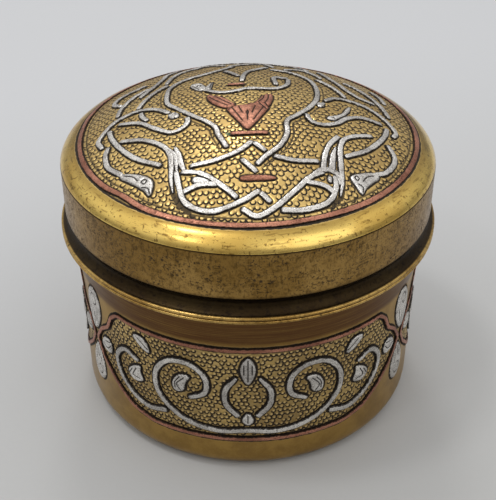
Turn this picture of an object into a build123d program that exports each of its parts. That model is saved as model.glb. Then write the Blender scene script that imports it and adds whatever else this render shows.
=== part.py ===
# Round lidded soap box of spun brass with inlaid straps of silver and copper.
# Millimetres. +Z is up, the box stands on Z = 0 and its axis is the Z axis.
# The front, where one of the three cartouches is centred, faces -Y.
import os
from bisect import bisect_left
from math import ceil, cos, degrees, hypot, radians, sin, sqrt

from build123d import *

os.makedirs("parts", exist_ok=True)

# Driving sizes of the cup
lid_radius = 43.0
sheet = 1.2
slip_gap = 0.3
cup_radius = lid_radius - 2.0
cup_height = 45.2
foot_rounding = 4.0
floor_thickness = 1.4

# Driving sizes of the rim: bead, hollow moulding above it, ledge and neck
bead_radius = 44.3
bead_top = 47.0
hollow_depth = 0.9
ledge_height = 50.8
neck_top = 60.0

# Driving sizes of the lid
skirt_height = 11.1
shoulder_peak = (41.5, 63.95)
dome_radius = 81.2
dome_top = 75.4
ring_radius = 38.3
ring_width = 1.2

# Flats that stand for the small rounded stretches of the turned profiles
foot_flats = 3
bead_flats = 2
hollow_flats = 2
shoulder_flats = 3
dome_flats = 6

# The punched field of the dome is sunk, and the silver and copper stand up from it.
# A strap bends in steps no longer and no sharper than these, clear of the brass
# by the most that such a step dips.
field_drop = 0.15
inlay_rise = 0.35
strap_width = 1.3
longest_step = 7.0
sharpest_step = 34.0
dome_seat = 0.08
cup_step = 8.0
cup_seat = 0.11

# The cartouches round the cup, as angles from the front and heights. Their left half
# mirrors this one.
border_width = 1.0
border_upper = ((59.0, 23.6), (55.4, 27.6), (51.0, 30.0), (48.8, 33.6), (45.6, 35.6))
border_lower = ((59.0, 23.6), (55.4, 19.2), (48.0, 14.4), (40.6, 10.9), (32.0, 9.5))

# Sizes worked out from those above
cup_bore = cup_radius - sheet
skirt_bore = lid_radius - sheet
neck_radius = skirt_bore - slip_gap
crown_edge = ledge_height + skirt_height
dome_centre = dome_top - dome_radius
ring_outside = ring_radius + ring_width / 2
ring_inside = ring_radius - ring_width / 2
cup_spread = (radians(cup_radius), 1)


def dome_height(radius, sunk=0.0):
    return dome_centre + sqrt((dome_radius - sunk) ** 2 - radius**2)


def save(piece, name):
    piece.part.label = name
    export_step(piece.part, f"parts/{name}.step")


# Points along an arc, so that a turned profile is held by short flats
def flats(start, through, end, count):
    arc = ThreePointArc(start, through, end, mode=Mode.PRIVATE)
    return [(place.X, place.Y) for place in (arc @ (i / count) for i in range(count + 1))]


# A seat on the dome from its plan position, and on the cup from angle and height:
# the point, the way outwards, and the plan direction that runs sideways there
def on_dome(x, y):
    point = Vector(x, y, dome_height(hypot(x, y), field_drop))
    normal = (point - Vector(0, 0, dome_centre)).normalized()
    return point + normal * dome_seat, normal, Vector(1, 0, 0)


def on_cup(angle, height):
    outward = Vector(sin(radians(angle)), -cos(radians(angle)), 0)
    return outward * (cup_radius + cup_seat) + Vector(0, 0, height), outward, Vector(-outward.Y, outward.X, 0)


# Places along a smooth run through the points, closer together where it bends
def along(points):
    if len(points) < 3:
        return points
    run = Spline(*points, mode=Mode.PRIVATE)
    samples = 96
    walked = [0.0]
    for i in range(samples):
        turn = (run % (i / samples)).get_angle(run % ((i + 1) / samples))
        walked.append(walked[-1] + run.length / samples / longest_step + turn / sharpest_step)
    count = ceil(walked[-1])
    picks = sorted({bisect_left(walked, walked[-1] * i / count) for i in range(count)} | {samples})
    places = [run @ (pick / samples) for pick in picks]
    return [(place.X, place.Y) for place in places]


# Places along straight runs round the cup, close enough to follow its curve
def around(corners):
    places = []
    for (start, low), (end, high) in zip(corners, corners[1:]):
        pieces = max(1, ceil(abs(end - start) / cup_step))
        places += [(start + (end - start) * i / pieces, low + (high - low) * i / pieces) for i in range(pieces)]
    return places + [corners[-1]]


# The other half of a shape that is the same on both sides of its middle
def mirrored(points):
    return [(-across, height) for across, height in reversed(points)]


# Places in a cartouche, from millimetres along the wall to angles
def on_wall(points, turn):
    return [(turn + degrees(across / cup_radius), height) for across, height in points]


# One inlaid strap: a flat bar of even width that follows the surface. Each side of a
# step is two flat facets, so that the bar can twist with the surface.
def strap(places, surface, width):
    seats = [surface(*place) for place in places]
    last = len(seats) - 1
    rings = []
    for i, (point, normal, _) in enumerate(seats):
        behind = (point - seats[i - 1][0]).normalized() if i > 0 else None
        ahead = (seats[i + 1][0] - point).normalized() if i < last else None
        forward = (behind or ahead) + (ahead or behind)
        mitre = forward.length / 2
        across = normal.cross(forward).normalized() * (width / mitre / 2)
        rise = normal * inlay_rise
        rings.append([point - across, point + across, point + across + rise, point - across + rise])
    facets = [Face(Wire.make_polygon(ring)) for ring in (rings[0], rings[-1])]
    for near, far in zip(rings, rings[1:]):
        for i, j in ((0, 1), (1, 2), (2, 3), (3, 0)):
            facets.append(Face(Wire.make_polygon([near[i], near[j], far[j]])))
            facets.append(Face(Wire.make_polygon([near[i], far[j], far[i]])))
    add(Solid(Shell(facets)))


# One inlaid plate: a flat leaf, head or wing that lies on the surface at its middle
def plate(outline, surface, spread=(1, 1)):
    middle = (sum(x for x, _ in outline) / len(outline), sum(y for _, y in outline) / len(outline))
    point, normal, sideways = surface(*middle)
    local = [((x - middle[0]) * spread[0], (y - middle[1]) * spread[1]) for x, y in outline]
    with BuildSketch(Plane(point, x_dir=sideways, z_dir=normal)) as leaf:
        with BuildLine():
            Polyline(*local, close=True)
        make_face()
    extrude(leaf.sketch, amount=inlay_rise)


# Silver straps on the lid, as seen from above with the front below. Each strap
# stops where another one passes over it.
lid_straps = {
    "heart_strap_right": [
        [(5.8, 19.4), (11, 17), (14.7, 12.3), (15.8, 6.5), (15.3, 0.7), (13.3, -3.8), (10.5, -7.5),
         (8.5, -9.8), (8.3, -14.5), (6.8, -18.3), (3.5, -22), (2.1, -23.8)],
    ],
    "heart_strap_left": [
        [(-3.8, 22.8), (-6.9, 18.9), (-10.4, 16), (-15.1, 13.1), (-18, 9.2), (-18.5, 5), (-18, 0),
         (-16.3, -2.5), (-12.8, -6.5), (-8.8, -10.3), (-7, -12.5), (-6.3, -15), (-4.6, -18.8)],
    ],
    "heart_point": [[(-1.1, -22.9), (1.5, -25.9)]],
    "back_stem": [
        [(4.4, 21.8), (2.4, 19.2), (0, 16.5), (-1, 13.5), (-1.4, 9.4)],
        [(-5.5, 17.6), (-2.4, 13)],
    ],
    "bird_scroll": [
        [(-10, 4.6), (-7.5, 2.8), (-5.1, 2.3), (-2.7, 2.8), (-0.6, 4), (2.1, 4.2), (4.7, 4.2),
         (7.1, 5), (9, 7.6), (9.4, 11)],
        [(9, 11.9), (6.2, 11.9), (6.4, 7.4)],
    ],
    "side_loop_left": [
        [(-13.2, -7.9), (-13.1, -9.6), (-14.2, -11.4), (-16.3, -12.3), (-20, -9.8), (-24, -5.8), (-28.6, -3.7)],
        [(-24, -1.6), (-23.5, -3.5), (-22.5, -5.2)],
    ],
    "side_loop_right": [
        [(12.9, -6.5), (13.2, -7.9), (14.4, -9.3), (16.4, -9.5), (19.3, -8), (22, -4.8), (25.5, -2.7), (29.6, -2.8)],
    ],
    "arch_left": [
        [(-32, -10.8), (-33.1, -8), (-32, -4.8), (-29.5, -1.5), (-25.3, 0), (-21, -1.2), (-17.7, -4.2)],
        [(-17.2, -5.4), (-15.6, -6.6)],
    ],
    "arch_right": [
        [(17.6, 1.6), (19.5, 3.6), (22.4, 4.3), (25.8, 3.9), (28.9, 2.3), (31.6, -0.8), (33.1, -4.4), (32.4, -6.2)],
        [(16.9, -0.2), (16, -1.8)],
    ],
    "side_band_left": [
        [(-30.8, -5.4), (-30, -8.5), (-27.5, -13.5), (-23.5, -18.5), (-18.5, -21.9)],
        [(-27.5, -11), (-22.3, -13), (-18, -16.5), (-16.3, -19.4), (-15.7, -23)],
        [(-15.2, -18.4), (-14, -22.8)],
    ],
    "side_band_right": [
        [(31, -4.2), (30.5, -6.5), (29, -10), (25.5, -15), (20.9, -18.6)],
        [(26.8, -9.4), (23, -11.3), (20.6, -13.4), (19.6, -16.5), (19.4, -23.4)],
        [(19.3, -12.9), (17.4, -15.9), (16.2, -19.4), (15.8, -23.2)],
    ],
    "outer_curl_left": [[(-30.5, -11.9), (-30.8, -14), (-29.8, -18.3), (-26.6, -21.9)]],
    "outer_curl_right": [[(30.6, -11), (31.6, -13.5), (31.5, -16), (29.3, -20), (26.6, -21.9)]],
    "front_loop_left": [
        [(-14.8, -24.8), (-14.2, -28), (-12.6, -32.5), (-7.6, -35), (-1.2, -33), (2.1, -30.8)],
        [(2.7, -31.3), (4.3, -32.9)],
        [(-13.4, -24.9), (-9.5, -26), (-4.8, -29.8), (-2.5, -32)],
        [(-12.9, -29.8), (-9.8, -28.7), (-6.6, -28.9)],
    ],
    "front_loop_right": [
        [(-0.9, -34.9), (1.7, -36.3), (5.2, -34.4), (9.9, -29.7), (13, -26.1), (15.4, -24.6)],
        [(7.1, -34.7), (11.3, -34.2), (16.2, -31.7), (17.9, -28.5), (18, -25.2)],
        [(12.4, -28.4), (16.7, -28.4)],
    ],
    "front_tie_left": [
        [(-11.6, -23.6), (-6.4, -22.6), (-1.9, -20.3), (0.7, -17.7)],
        [(1.4, -18), (3.4, -20)],
    ],
    "front_tie_right": [[(5.8, -21.7), (9.5, -22.4), (14.4, -21.8)]],
    "back_straps_left": [
        [(-24.8, 1.6), (-24, 4), (-21.7, 8.4), (-19, 11.4)],
        [(-29.6, 0.9), (-29.2, 4), (-26.7, 9.4), (-23.6, 12.6)],
        [(-24.9, 8.2), (-22.3, 13), (-20.6, 18.6), (-19.8, 24), (-17, 28.4)],
        [(-19.2, 13.5), (-18.2, 18.1), (-16, 23), (-12, 26)],
        [(-29.6, 6.5), (-31.4, 9), (-30.6, 12.4), (-27.5, 15), (-24.6, 16.6)],
    ],
    "back_straps_right": [
        [(16.4, 14.4), (18.6, 12.1), (20.7, 9.2), (22.1, 6.2)],
        [(17.4, 24.5), (19.6, 18.6), (21.6, 14.4), (23.4, 10.8), (26, 8.2), (29, 7.4)],
        [(23.2, 17.6), (26.3, 14.9), (28.9, 11.3), (30.9, 7.4), (32.2, 2.6)],
        [(29.7, 17.3), (31.3, 14.9), (32.2, 11)],
        [(9, 20.6), (12.6, 22.6), (15.2, 20.4), (17.2, 17)],
    ],
    "back_knot": [
        [(-4.4, 24), (-1, 26.6), (4, 28.6), (10.5, 27.6), (14.6, 24.4)],
        [(5.9, 23.4), (4.4, 26.4)],
        [(3.2, 30), (-1, 33), (-7, 33.2), (-12, 30.4)],
        [(-6, 26.2), (-9.6, 27.8), (-13.6, 27)],
    ],
    "tie_bars": [[(-3.3, -15), (3.9, -14.6)], [(-4.3, 6.7), (-1.1, 6.8)]],
}

# Heads, leaves and the winged cup, as outlines
lid_plates = {
    "bird_scroll": [
        [(-13.6, 8.2), (-12.6, 9.3), (-10.8, 9), (-10, 7.4), (-9.2, 5), (-10.6, 4), (-12.6, 6)],
        [(-10.2, 5), (-8.4, 4), (-8.3, 7), (-7.9, 10.4), (-9, 8)],
    ],
    "side_loop_right": [
        [(17.2, -6.9), (17.5, -5.6), (18.9, -5), (21, -3.2), (22.4, 1), (23.5, 1), (22.2, -3), (19.9, -5.7),
         (19, -7)],
    ],
    "outer_curl_left": [
        [(-26.5, -21.3), (-22.5, -23), (-19.6, -25.6), (-19.9, -29.6), (-21.6, -27), (-24.6, -24.9), (-27, -22.6)],
    ],
    "outer_curl_right": [
        [(26.9, -21), (24.6, -21.9), (21.4, -24.4), (23.4, -27.2), (25, -25.2), (27.8, -22.4)],
    ],
    "front_loop_left": [[(-11.3, -26.4), (-9.7, -26.5), (-7.3, -27.7), (-10.4, -27.9)]],
    "winged_cup": [
        [(-8.7, 1), (-6.2, 1), (-5.5, -0.6), (-4, -3), (-2.6, -4.2), (-4.8, -5.2), (-7.4, -3.6), (-8.8, -1.6)],
        [(2.9, 1.8), (5.2, 1.8), (5.5, -0.6), (4.8, -4.2), (1.2, -3.1), (2.8, -1.4)],
        [(-5, -5.2), (-2.8, -4.2), (-0.5, -3.9), (1.2, -3.1), (4.8, -4.2), (4.2, -6.3), (0.3, -13.6),
         (-0.5, -13.6), (-3.8, -7)],
    ],
    "tie_bars": [[(-1.6, -28.1), (0, -28.6), (4.6, -28.1), (6.1, -27.2), (4.4, -26.9), (0, -27.2)]],
}

# Silver vine in a cartouche, as millimetres along the wall from its middle and heights.
# The stems and leaves of its left half mirror these.
vine_base = [(0, 12.3), (6.2, 11.8), (12.2, 12.7), (17.6, 15.4), (21.3, 20), (21.4, 25.6), (18, 29.8), (13, 30.2),
             (9.6, 27.2), (9.6, 22.8), (13, 20.6)]
vine_stems = (
    [(19.6, 14.4), (24.4, 13.4), (29.2, 15.4), (32.8, 19.4), (33.4, 24), (30.4, 27.2), (26.8, 26)],
    [(2.3, 16.8), (4.8, 20), (5, 24.2), (2.8, 27.6)],
)
vine_leaves = (
    [(14.4, 21.8), (17, 21.2), (17.6, 24), (15.6, 27), (12.6, 26.6), (14.2, 24.6)],
    [(25.6, 24.8), (28.4, 23.6), (30.4, 21.2), (28, 19), (24.8, 20.4), (26.2, 22.4)],
    [(35.4, 25.4), (35.6, 22.2), (38.4, 21.8), (40.4, 23.6), (38.4, 26.4)],
    [(22.4, 29.4), (25, 30), (28.4, 33.4), (24.2, 33.6)],
)
vine_buds = (
    [(0, 34), (1.5, 32), (1.9, 29.2), (0, 25), (-1.9, 29.2), (-1.5, 32)],
    [(0, 13.6), (1.5, 14.8), (1, 16.6), (0, 17.6), (-1, 16.6), (-1.5, 14.8)],
)

# Palm leaves between the cartouches, as angles from the middle of the gap and heights
palm_leaves = (
    [(0, 25.4), (2.4, 27), (4.4, 30), (4.8, 33), (3.4, 36.2), (0.4, 37.5), (-2.8, 36.6), (-4.6, 34), (-4.2, 30.4),
     (-2.2, 27.2)],
    [(0, 21.6), (2.2, 19.4), (4.2, 16.2), (4.4, 13), (2.4, 10.7), (-0.2, 10.1), (-2.8, 11), (-4.4, 13.6),
     (-3.8, 17), (-2, 19.8)],
)


# The cup is spun from one sheet: straight wall, rounded lower edge, flat bottom
def make_cup():
    slant = foot_rounding * (1 - cos(radians(45)))
    outer_foot = flats((cup_radius - foot_rounding, 0), (cup_radius - slant, slant),
                       (cup_radius, foot_rounding), foot_flats)
    inner_foot = [(cup_bore, foot_rounding), (cup_radius - foot_rounding, floor_thickness)]
    with BuildPart() as cup:
        with BuildSketch(Plane.XZ):
            with BuildLine():
                Polyline((0, 0), *outer_foot, (cup_radius, cup_height), (cup_bore, cup_height),
                         *inner_foot, (0, floor_thickness), close=True)
            make_face()
        revolve(axis=Axis.Z)
    return cup


# The turned rim is soldered on the mouth of the cup, and its neck enters the lid
def make_rim_collar():
    bead_start = bead_radius - (bead_top - cup_height) / 2
    hollow_start = (bead_start, bead_top)
    hollow_end = (lid_radius - 0.5, ledge_height)
    hollow_middle = ((hollow_start[0] + hollow_end[0]) / 2 - hollow_depth, (bead_top + ledge_height) / 2)
    bead = flats((bead_start, cup_height), (bead_radius, (cup_height + bead_top) / 2),
                 (bead_start, bead_top), bead_flats)
    hollow = flats(hollow_start, hollow_middle, hollow_end, hollow_flats)
    with BuildPart() as rim_collar:
        with BuildSketch(Plane.XZ):
            with BuildLine():
                Polyline((cup_bore, cup_height), *bead, *hollow[1:], (neck_radius, ledge_height),
                         (neck_radius, neck_top), (cup_bore, neck_top), close=True)
            make_face()
        revolve(axis=Axis.Z)
    return rim_collar


# The skirt of the lid is a plain hoop that rests on the ledge
def make_lid_skirt():
    with BuildPart() as lid_skirt:
        with BuildSketch(Plane.XZ):
            with Locations(((lid_radius + skirt_bore) / 2, ledge_height + skirt_height / 2)):
                Rectangle(sheet, skirt_height)
        revolve(axis=Axis.Z)
    return lid_skirt


# The crown is a shallow dome with a rolled shoulder, soldered on the skirt. Its
# punched field is a step lower than the shoulder, and its lining is plain.
def make_lid_crown():
    dome_bend = (ring_radius / 2, dome_height(ring_radius / 2, field_drop))
    dome_end = (ring_outside, dome_height(ring_outside, field_drop))
    dome = flats((0, dome_top - field_drop), dome_bend, dome_end, dome_flats)
    shoulder_start = (ring_outside, dome_height(ring_outside))
    shoulder = flats(shoulder_start, shoulder_peak, (lid_radius, crown_edge), shoulder_flats)
    lining_bend = (ring_radius / 2, dome_height(ring_radius / 2, sheet))
    lining_end = (ring_inside, dome_height(ring_inside, sheet))
    with BuildPart() as lid_crown:
        with BuildSketch(Plane.XZ):
            with BuildLine():
                Polyline(*dome, *shoulder, (skirt_bore, crown_edge), lining_end, lining_bend,
                         (0, dome_top - sheet), close=True)
            make_face()
        revolve(axis=Axis.Z)
    return lid_crown


# The copper ring lies against the step where the sunk field ends
def make_lid_border_ring():
    with BuildPart() as lid_border_ring:
        with BuildSketch(Plane.XZ):
            with BuildLine():
                Polyline((ring_inside, dome_height(ring_inside, field_drop)),
                         (ring_inside, dome_height(ring_inside, field_drop - inlay_rise)),
                         (ring_outside, dome_height(ring_outside, field_drop - inlay_rise)),
                         (ring_outside, dome_height(ring_outside, field_drop)), close=True)
            make_face()
        revolve(axis=Axis.Z)
    return lid_border_ring


def make_lid_inlay(name):
    with BuildPart() as inlay:
        for points in lid_straps.get(name, []):
            strap(along(points), on_dome, strap_width)
        for outline in lid_plates.get(name, []):
            plate(outline, on_dome)
    return inlay


# A cartouche border closes on itself, so it is made as an upper and a lower half
def make_border(turn):
    with BuildPart() as border:
        for half in (border_upper, border_lower):
            places = [(angle + turn, height) for angle, height in around([*half, *mirrored(half)])]
            strap(places, on_cup, border_width)
    return border


# Silver vine in a cartouche: a long base stem that curls up at both ends, side stems,
# a leaf in every curl, and a bud and a knot in the middle
def make_vine(turn):
    stems = [mirrored(vine_base)[:-1] + vine_base, *vine_stems, *map(mirrored, vine_stems)]
    leaves = [*vine_leaves, *map(mirrored, vine_leaves), *vine_buds]
    with BuildPart() as vine:
        for points in stems:
            strap(on_wall(along(points), turn), on_cup, strap_width)
        for outline in leaves:
            plate(on_wall(outline, turn), on_cup, cup_spread)
    return vine


def make_palm_leaves(turn):
    with BuildPart() as leaves:
        for outline in palm_leaves:
            plate([(turn + angle, height) for angle, height in outline], on_cup, cup_spread)
    return leaves


save(make_cup(), "cup")
save(make_rim_collar(), "rim_collar")
save(make_lid_skirt(), "lid_skirt")
save(make_lid_crown(), "lid_crown")
save(make_lid_border_ring(), "lid_border_ring")
for name in lid_straps | lid_plates:
    save(make_lid_inlay(name), name)
for turn, side in zip((0, 120, 240), ("front", "right", "left")):
    save(make_border(turn), f"cartouche_border_{side}")
    save(make_vine(turn), f"vine_{side}")
for turn, side in zip((60, 180, 300), ("right", "back", "left")):
    save(make_palm_leaves(turn), f"palm_leaves_{side}")
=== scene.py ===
# Round soap box of spun brass with a slip-on domed lid. Silver straps and a copper
# winged cup are let into the punched dome, and three copper-edged panels with silver
# vines run round the cup. Lengths are in millimetres until a mesh is made.
from math import ceil, cos, pi, radians, sin, sqrt

import bmesh
import bpy
import numpy as np
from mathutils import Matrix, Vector, geometry, kdtree


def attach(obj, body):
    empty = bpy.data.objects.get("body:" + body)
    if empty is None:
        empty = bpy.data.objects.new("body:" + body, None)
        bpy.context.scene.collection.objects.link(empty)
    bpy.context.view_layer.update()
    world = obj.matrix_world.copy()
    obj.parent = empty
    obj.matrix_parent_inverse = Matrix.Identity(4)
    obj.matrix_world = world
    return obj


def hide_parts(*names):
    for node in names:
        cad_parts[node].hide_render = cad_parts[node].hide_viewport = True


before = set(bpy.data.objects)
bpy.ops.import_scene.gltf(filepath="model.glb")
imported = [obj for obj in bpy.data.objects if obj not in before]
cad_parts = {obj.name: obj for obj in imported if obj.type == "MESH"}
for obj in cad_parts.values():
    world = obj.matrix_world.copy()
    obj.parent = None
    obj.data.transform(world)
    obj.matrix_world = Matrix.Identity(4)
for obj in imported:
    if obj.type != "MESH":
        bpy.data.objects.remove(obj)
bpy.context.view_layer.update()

mm = 0.001
faraway = 9.0    # a distance mark that means: nothing near

lid = {
    "radius": 43.0,
    "bore": 41.8,
    "skirtBottom": 50.8,
    "skirtTop": 61.9,
    "domeRadius": 81.2,
    "domeTop": 75.4,
    "lining": 1.2,        # thickness of the spun sheet
    "fieldDrop": 0.15,    # the punched field lies this much lower than the shoulder
    "fieldRadius": 38.9,
}

cup = {
    "radius": 41.0,
    "bore": 39.8,
    "height": 45.2,
    "footRounding": 4.0,
    "floor": 1.4,
}

# how silver and copper stand in the brass
inlay = {
    "strapWidth": 1.12,
    "vineWidth": 1.24,
    "rise": 0.32,
    "root": -0.22,        # how deep the metal is seated
    "step": 0.28,
    "runOn": 1.4,         # steps that a cut end runs on
    "hammer": 0.028,      # unevenness that the hammer left
}

# rings struck with a hollow punch, and the line chased round every strap
chasing = {
    "domeRing": 0.56,     # radius of the punch
    "cupRing": 0.50,
    "ringDepth": 0.07,
    "pitch": 2.5,         # times the radius
    "nearest": 2.14,
    "tries": 24000,
    "clearOfStraps": 0.40,
    "lineAway": 0.18,
    "lineWidth": 0.15,
    "lineDepth": 0.16,
}


def softNoise(seed, x, y, scale):
    # smooth random values from -1 to 1
    table = np.random.RandomState(seed).rand(64, 64) * 2 - 1
    u, v = np.broadcast_arrays(np.asarray(x, float) / scale, np.asarray(y, float) / scale)
    i, j = np.floor(u).astype(int), np.floor(v).astype(int)
    s, t = u - i, v - j
    s, t = s * s * (3 - 2 * s), t * t * (3 - 2 * t)
    low = table[i % 64, j % 64] * (1 - s) + table[(i + 1) % 64, j % 64] * s
    high = table[i % 64, (j + 1) % 64] * (1 - s) + table[(i + 1) % 64, (j + 1) % 64] * s
    return low * (1 - t) + high * t


def ease(value, low, high):
    t = np.clip((value - low) / (high - low), 0, 1)
    return t * t * (3 - 2 * t)


def onDome(u, v, rise):
    # u and v as seen from above
    radius = lid["domeRadius"] - lid["fieldDrop"]
    u, v, rise = np.broadcast_arrays(u, v, rise)
    grow = (radius + rise) / radius
    up = np.sqrt(radius ** 2 - u ** 2 - v ** 2) * grow
    return np.stack([u * grow, v * grow, lid["domeTop"] - lid["domeRadius"] + up], -1)


cupRound = 2 * pi * cup["radius"]


def onCup(u, v, rise):
    # u is the way round the wall from the front, v the height
    u, v, rise = np.broadcast_arrays(u, v, rise)
    out = cup["radius"] + rise
    return np.stack([out * np.sin(u / cup["radius"]), -out * np.cos(u / cup["radius"]), v], -1)


class Shell:
    # points, faces and marks of one piece while it is being made
    def __init__(self):
        self.points, self.marks, self.faces, self.count = [], [], [], 0

    def add(self, points, **marks):
        points = np.asarray(points, float)
        shape = points.shape[:-1]
        size = int(np.prod(shape))
        self.points.append(points.reshape(-1, 3))
        self.marks.append((size, {k: np.broadcast_to(m, shape).reshape(-1) for k, m in marks.items()}))
        self.count += size
        return np.arange(self.count - size, self.count).reshape(shape)

    def quads(self, grid, wrap=False):
        if wrap:
            grid = np.concatenate([grid, grid[:, :1]], 1)
        four = np.stack([grid[:-1, :-1], grid[:-1, 1:], grid[1:, 1:], grid[1:, :-1]], -1)
        self.faces += four.reshape(-1, 4).tolist()

    def bridge(self, first, second):
        # two closed rings, one of which may have several times the points of the other
        fine, coarse = (first, second) if len(first) >= len(second) else (second, first)
        ratio = len(fine) // len(coarse)
        for i in range(len(coarse)):
            run = [int(fine[(i * ratio + k) % len(fine)]) for k in range(ratio + 1)]
            self.faces.append(run + [int(coarse[(i + 1) % len(coarse)]), int(coarse[i])])

    def lathe(self, profile, columns, start, **marks):
        # profile of radius and height, turned round the axis
        angle = start + np.arange(columns) * 2 * pi / columns
        profile = np.asarray(profile, float)
        out, up = profile[:, :1], profile[:, 1:2]
        rings = np.stack([out * np.sin(angle), -out * np.cos(angle), up + 0 * angle], -1)
        marks = {k: np.reshape(m, (-1, 1)) if np.ndim(m) else m for k, m in marks.items()}
        grid = self.add(rings, **marks)
        self.quads(grid, wrap=True)
        return grid

    def close(self, loop, point, **marks):
        middle = int(self.add([point], **marks)[0])
        loop = loop.tolist()
        self.faces += [[a, b, middle] for a, b in zip(loop, loop[1:] + loop[:1])]


def makePiece(name, shell, finish, body, stands, crease=None):
    mesh = bpy.data.meshes.new(name)
    mesh.from_pydata(np.concatenate(shell.points) * mm, [], shell.faces)
    for mark in sorted({k for _, marks in shell.marks for k in marks}):
        values = [marks.get(mark, np.zeros(size)) for size, marks in shell.marks]
        values = np.concatenate(values).astype(np.float32)
        mesh.attributes.new(mark, "FLOAT", "POINT").data.foreach_set("value", values)
    solid = bmesh.new()
    solid.from_mesh(mesh)
    bmesh.ops.recalc_face_normals(solid, faces=solid.faces)
    solid.to_mesh(mesh)
    solid.free()
    mesh.shade_smooth()
    if crease:
        mesh.set_sharp_from_angle(angle=radians(crease))
    piece = bpy.data.objects.new(name, mesh)
    bpy.context.scene.collection.objects.link(piece)
    mesh.materials.append(finish)
    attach(piece, body)
    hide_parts(*stands)


def walk(line):
    # the way walked from the start to each point
    return np.concatenate([[0], np.cumsum(np.hypot(*np.diff(line[:, :2], axis=0).T))])


def placesOn(line, places):
    walked = walk(line)
    return np.stack([np.interp(places, walked, column) for column in line.T], -1)


def between(first, second, start, end, at):
    return (end - at) / (end - start) * first + (at - start) / (end - start) * second


def smoothRun(points, width, step=inlay["step"], closed=False):
    # even steps along a smooth line through the points: place and width
    perSpan = 24    # fine steps from one point to the next
    knots = np.array([tuple(p) + (width,) * (3 - len(p)) for p in points], float)
    if closed:
        knots = np.concatenate([knots[-1:], knots, knots[:2]])
    elif len(knots) > 2:
        knots = np.concatenate([2 * knots[:1] - knots[1:2], knots, 2 * knots[-1:] - knots[-2:-1]])
    if len(knots) > 2:
        pieces = []
        for a, b, c, d in zip(knots, knots[1:], knots[2:], knots[3:]):
            gaps = [max(1e-6, np.hypot(*(q - p)[:2])) ** 0.5 for p, q in ((a, b), (b, c), (c, d))]
            k0, k1, k2, k3 = np.cumsum([0] + gaps)
            t = np.linspace(k1, k2, perSpan, endpoint=False)[:, None]
            e, f, g = between(a, b, k0, k1, t), between(b, c, k1, k2, t), between(c, d, k2, k3, t)
            pieces.append(between(between(e, f, k0, k2, t), between(f, g, k1, k3, t), k1, k2, t))
        knots = np.concatenate(pieces + [knots[-2:-1]])
    length = walk(knots)[-1]
    run = placesOn(knots, np.linspace(0, length, max(3, ceil(length / step)) + 1))
    return run[:-1] if closed else run


def cornerRun(points, width):
    # straight runs between the points and back to the first, with the corners eased
    knots = np.array(list(points) + [points[0]], float)
    run = placesOn(knots, np.arange(0, walk(knots)[-1], inlay["step"]))
    for _ in range(5):
        run = (np.roll(run, 1, 0) + 2 * run + np.roll(run, -1, 0)) / 4
    return np.concatenate([run, np.full((len(run), 1), width)], 1)


def hammered(seed, u, v, size):
    # the height of a top face that the hammer left uneven
    return inlay["rise"] + inlay["hammer"] * (softNoise(seed, u, v, size) + 0.5 * softNoise(seed + 1, u, v, 0.35))


def addStrap(shell, surface, run, seed, closed=False):
    # a flat bar with a hammered top and softened edges, seated in the brass
    across = np.array([-1, -1, -0.94, -0.78, -0.3, 0.3, 0.78, 0.94, 1, 1])
    height = np.array([0, 0.3, 0.78, 0.97, 1, 1, 0.97, 0.78, 0.3, 0])
    if not closed:
        # the cut ends run on a little, under the bar that crosses there
        before, after = run[0] - run[1], run[-1] - run[-2]
        run = np.concatenate([[run[0] + before * inlay["runOn"]], run, [run[-1] + after * inlay["runOn"]]])
    places = np.arange(len(run)) * inlay["step"]
    if closed:
        ahead = np.roll(run[:, :2], -1, 0) - np.roll(run[:, :2], 1, 0)
        fromEnd = np.full(len(run), faraway)
    else:
        ahead = np.gradient(run[:, :2], axis=0)
        fromEnd = np.minimum(places, places[::-1])
    ahead = ahead / np.linalg.norm(ahead, axis=1)[:, None]
    side = np.stack([-ahead[:, 1], ahead[:, 0]], -1)
    ended = 1 - ease(fromEnd, 0, 0.4)
    wander = 1 + 0.08 * softNoise(seed, run[:, 0], run[:, 1], 1.1)
    wander = wander + 0.05 * softNoise(seed + 3, run[:, 0], run[:, 1], 0.45)
    half = (run[:, 2] / 2 * wander * (1 - 0.22 * ended))[:, None]
    u = run[:, :1] + side[:, :1] * half * across
    v = run[:, 1:2] + side[:, 1:2] * half * across
    rise = height * hammered(seed + 1, u, v, 0.75) * (1 - 0.35 * ended)[:, None]
    rise[:, [0, -1]] = inlay["root"]
    grid = shell.add(surface(u, v, rise), rim=half * (1 - np.abs(across)), cut=faraway,
                     along=places[:, None] + seed * 9, across=half * across)
    if closed:
        grid = np.concatenate([grid, grid[:1]])
    shell.quads(grid, wrap=True)
    if not closed:
        shell.faces += [grid[0].tolist(), grid[-1].tolist()[::-1]]


def roundedOutline(outline, step):
    loop = np.array(outline, float)
    for _ in range(2):
        after = np.roll(loop, -1, 0)
        loop = np.stack([loop * 0.75 + after * 0.25, loop * 0.25 + after * 0.75], 1).reshape(-1, 2)
    loop = np.concatenate([loop, loop[:1]])
    length = walk(loop)[-1]
    return placesOn(loop, np.linspace(0, length, ceil(length / step), endpoint=False))


def insideOutline(u, v, loop):
    inside = np.zeros(np.shape(u), bool)
    for (a, b), (c, d) in zip(loop, np.roll(loop, -1, 0)):
        if b != d:
            inside ^= ((b > v) != (d > v)) & (u < (c - a) * (v - b) / (d - b) + a)
    return inside


def staggered(low, high, step):
    # rows of points, every other row moved by half a step
    u, v = np.meshgrid(np.arange(low[0], high[0], step), np.arange(low[1], high[1], step * 0.87))
    return u + (np.arange(len(u)) % 2)[:, None] * step / 2, v


def gapTo(line, spots):
    return np.min(np.hypot(spots[:, :1] - line[:, 0], spots[:, 1:] - line[:, 1]), 1)


def fillOutline(loop, step, margin):
    u, v = staggered(loop.min(0), loop.max(0), step)
    keep = insideOutline(u, v, loop)
    spots = np.stack([u[keep], v[keep]], -1)
    return spots[gapTo(loop, spots) > margin]


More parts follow.
